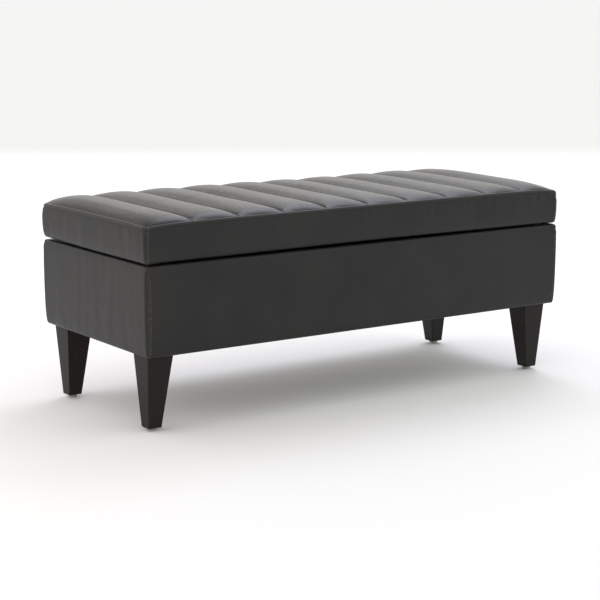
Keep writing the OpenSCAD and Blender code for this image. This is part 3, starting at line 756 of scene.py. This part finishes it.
def inflate(piece, slack):
    """Swells the cushion between its sewn lines with Cloth, and keeps every point near where it started.

    slack is 0 on the sewn lines, which do not move, and 1 where the cover is free.
    """
    start = np.array([v.co for v in piece.data.vertices])
    pins = piece.vertex_groups.new(name="sewn")
    pins.add([index for index, free in enumerate(slack) if free < 0.01], 1.0, "REPLACE")
    cloth = piece.modifiers.new("cloth", "CLOTH")
    settings = cloth.settings
    settings.quality = 6
    settings.mass = 0.25
    settings.tension_stiffness = 12
    settings.compression_stiffness = 12
    settings.shear_stiffness = 6
    settings.bending_stiffness = 0.8
    settings.air_damping = 4
    settings.vertex_group_mass = "sewn"
    settings.use_pressure = True
    settings.uniform_pressure_force = 4.0
    settings.shrink_min = -0.002
    settings.effector_weights.gravity = 0
    cloth.collision_settings.use_collision = False
    cloth.collision_settings.use_self_collision = False
    cloth.point_cache.frame_start = 1
    cloth.point_cache.frame_end = CLOTH_FRAMES
    scene = bpy.context.scene
    for step in range(1, CLOTH_FRAMES + 1):
        scene.frame_set(step)
    apply_modifiers(piece)
    moved = np.array([v.co for v in piece.data.vertices]) - start
    far = np.linalg.norm(moved, axis=1)
    print("seat cushion swelled by up to", round(float(far.max()) / MM, 2), "mm, mean",
          round(float(far.mean()) / MM, 2))
    limit = SWELL_LIMIT * MM * np.array(slack)
    moved *= np.minimum(1.0, limit / np.maximum(far, 1e-9))[:, None]
    piece.data.vertices.foreach_set("co", (start + moved).ravel())
    scene.frame_set(1)


def finish_seat(piece):
    """Smooths the cushion and settles it on the lid."""
    piece.vertex_groups.clear()
    finer = piece.modifiers.new("finer", "SUBSURF")
    finer.levels = finer.render_levels = 1
    apply_modifiers(piece)
    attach(piece, "lid")
    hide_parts("seat_cover", "channel_pads", "seat_foam", "lid_wadding")


# ---------------------------------------------------------------- legs and glides


def tapered_leg(node):
    """A square tapered leg with eased edges, from the CAD leg's top and foot."""
    points = np.array([v.co for v in frame["nodes"][node].data.vertices]) / MM
    low, high = points[:, 2].min(), points[:, 2].max()
    foot, top = points[points[:, 2] < low + 1], points[points[:, 2] > high - 1]
    corners, order = [], ((0, 0), (1, 0), (1, 1), (0, 1))
    levels = 9
    for n in range(levels):
        t = n / (levels - 1)
        for i, j in order:
            ends = []
            for group in (foot, top):
                x = (group[:, 0].min(), group[:, 0].max())[i]
                y = (group[:, 1].min(), group[:, 1].max())[j]
                ends.append(np.array((x, y, group[0, 2])))
            corners.append(ends[0] * (1 - t) + ends[1] * t)
    faces = [(n * 4 + k, n * 4 + (k + 1) % 4, n * 4 + 4 + (k + 1) % 4, n * 4 + 4 + k)
             for n in range(levels - 1) for k in range(4)]
    faces += [(3, 2, 1, 0), tuple((levels - 1) * 4 + k for k in range(4))]
    piece = make_piece(node + "_eased", corners, faces, WOOD, smooth=False)
    bevel = piece.modifiers.new("ease", "BEVEL")
    bevel.width = 1.4 * MM
    bevel.segments = 3
    bevel.limit_method = "ANGLE"
    bevel.angle_limit = math.radians(40)
    bevel.harden_normals = True
    piece.data.polygons.foreach_set("use_smooth", [True] * len(piece.data.polygons))
    apply_modifiers(piece)
    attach(piece, "box")
    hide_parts(node)


def turn_glides():
    """Four nail-on glides: a domed disc on a nail, turned from one profile of (radius, height)."""
    low, high = cad_mm("leg_glides")
    radius = 10.5
    foot_x, foot_y = high[0] - radius, high[1] - radius
    height = cad_mm("leg_front_left")[0][2]
    nail_r, nail_length = 1.5, 18
    profile = [(7, 0), (9.2, 0.25), (10.2, 0.9), (10.5, 1.9), (10.4, 3.1), (9.9, 3.9), (9.2, 4.3),
               (9.1, height), (nail_r, height), (nail_r, height + nail_length)]
    steps, rings = 40, len(profile)
    points, faces = [], []
    for cx in (-foot_x, foot_x):
        for cy in (-foot_y, foot_y):
            base = len(points)
            for r, z in profile:
                for k in range(steps):
                    a = 2 * math.pi * k / steps
                    points.append((cx + r * math.cos(a), cy + r * math.sin(a), z))
            for i in range(rings - 1):
                for k in range(steps):
                    n = (k + 1) % steps
                    faces.append((base + i * steps + k, base + i * steps + n, base + (i + 1) * steps + n,
                                  base + (i + 1) * steps + k))
            faces.append(tuple(base + k for k in reversed(range(steps))))
            faces.append(tuple(base + (rings - 1) * steps + k for k in range(steps)))
    piece = make_piece("nail_on_glides", points, faces, FINISHES["glide_plastic"])
    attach(piece, "box")
    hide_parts("leg_glides")


# ---------------------------------------------------------------- linings


def line_flat(name, node, body, z, sag):
    """A stretched cloth the size of a CAD lining, with slight slack between its staples."""
    low, high = cad_mm(node)
    xs, ys = np.linspace(low[0], high[0], 110), np.linspace(low[1], high[1], 44)
    points = []
    for x in xs:
        for y in ys:
            inside = min(1.0, min(x - low[0], high[0] - x, y - low[1], high[1] - y) / 25)
            lift = sag * inside * (0.5 + 0.5 * ripple(x, y, 0, (60, 45, 1)))
            points.append((x, y, z + lift))
    piece = make_piece(name, points, grid_faces(len(xs), len(ys)), FINISHES["black_cloth"])
    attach(piece, body)
    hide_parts(node)


def line_walls():
    """The lining of the four walls: one strip, sewn into a loop, between the floor and the covers."""
    low, high = cad_mm("wall_lining")
    half_thickness = 0.5
    x, y = high[0] - half_thickness, high[1] - half_thickness
    path = []
    for a, b in (((-x, -y), (x, -y)), ((x, -y), (x, y)), ((x, y), (-x, y)), ((-x, y), (-x, -y))):
        steps = int(math.dist(a, b) / 10)
        path += [(a[0] + (b[0] - a[0]) * t / steps, a[1] + (b[1] - a[1]) * t / steps) for t in range(steps)]
    heights = np.linspace(low[2] + half_thickness, high[2] + 2.0, 18)
    points = []
    for px, py in path:
        for z in heights:
            slack = 0.5 * ripple(px, py, z, (40, 40, 70))
            k = 1 - max(0.0, slack) / math.hypot(x, y)
            points.append((px * k, py * k, z))
    faces = grid_faces(len(path), len(heights), closed=True)
    piece = make_piece("wall_lining_cloth", points, faces, FINISHES["black_cloth"])
    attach(piece, "box")
    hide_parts("wall_lining")


# ---------------------------------------------------------------- making

box_stitches, lid_stitches = [], []
for side in SIDES:
    places, points = cover_box_side(side)
    leather_sheet(side + "_cover_leather", points, "box", side + "_cover", side + "_wadding")
    if side in ("front", "back"):
        face = points[:, : int(points.shape[1] * 0.72)]
        box_stitches += upright_stitches(places, face, BOX_BASE + 6, BOX_RIM - 6)

    places, points = cover_band(side)
    leather_sheet(side + "_band_leather", points, "lid", side + "_band")
    if side in ("front", "back"):
        lid_stitches += upright_stitches(places, points, LID_BASE + 8, SEAM_Z - 14)
    lid_stitches.append(seam_stitches(points))

sew("box_topstitching", "box", box_stitches)
sew("lid_topstitching", "lid", lid_stitches)

seat, slack = sew_seat()
inflate(seat, slack)
finish_seat(seat)

for leg in ("leg_front_left", "leg_front_right", "leg_rear_left", "leg_rear_right"):
    tapered_leg(leg)
turn_glides()

line_walls()
line_flat("floor_lining_cloth", "floor_lining", "box", cad_mm("floor_lining")[1][2], 0.8)
line_flat("dust_cover_cloth", "dust_cover", "box", cad_mm("dust_cover")[0][2], 0.6)
line_flat("lid_lining_cloth", "lid_lining", "lid", cad_mm("lid_lining")[0][2], 0.6)

# ---------------------------------------------------------------- studio


def light_panel(name, at, target, size, power, colour):
    """A soft rectangular light that faces target."""
    data = bpy.data.lights.new(name, "AREA")
    data.shape = "RECTANGLE"
    data.size, data.size_y = size
    data.energy = power
    data.color = linear(colour)[:3]
    light = bpy.data.objects.new(name, data)
    bpy.context.scene.collection.objects.link(light)
    light.location = at
    light.rotation_mode = "QUATERNION"
    light.rotation_quaternion = (Vector(target) - Vector(at)).to_track_quat("-Z", "Y")


def build_studio():
    """Pale floor, white surroundings, and soft lights from the left, from above and from behind."""
    reach = 60000
    corners = [(-reach, -reach, 0), (reach, -reach, 0), (reach, reach, 0), (-reach, reach, 0)]
    paint = new_material("pale_floor", {"Base Color": linear("#f4f4f3"), "Roughness": 0.9})[0]
    floor = make_piece("studio_floor", corners, [(0, 1, 2, 3)], paint, smooth=False)
    world = bpy.data.worlds.new("studio")
    world.use_nodes = True
    background = world.node_tree.nodes["Background"]
    background.inputs["Color"].default_value = linear("#ffffff")
    background.inputs["Strength"].default_value = 1.0
    bpy.context.scene.world = world
    bpy.context.scene.view_settings.view_transform = "Standard"
    light_panel("left_softbox", (-3.2, 0.6, 1.7), (0, 0, 0.3), (2.2, 1.8), 14.5, "#ffdcc2")
    light_panel("top_softbox", (1.6, 1.2, 2.7), (0, 0, 0.4), (2.0, 0.9), 27, "#e8e8ff")
    light_panel("back_panel", (2.6, 4.2, 2.1), (0, 0, 0.4), (7.0, 2.0), 41, "#fff8ec")


build_studio()
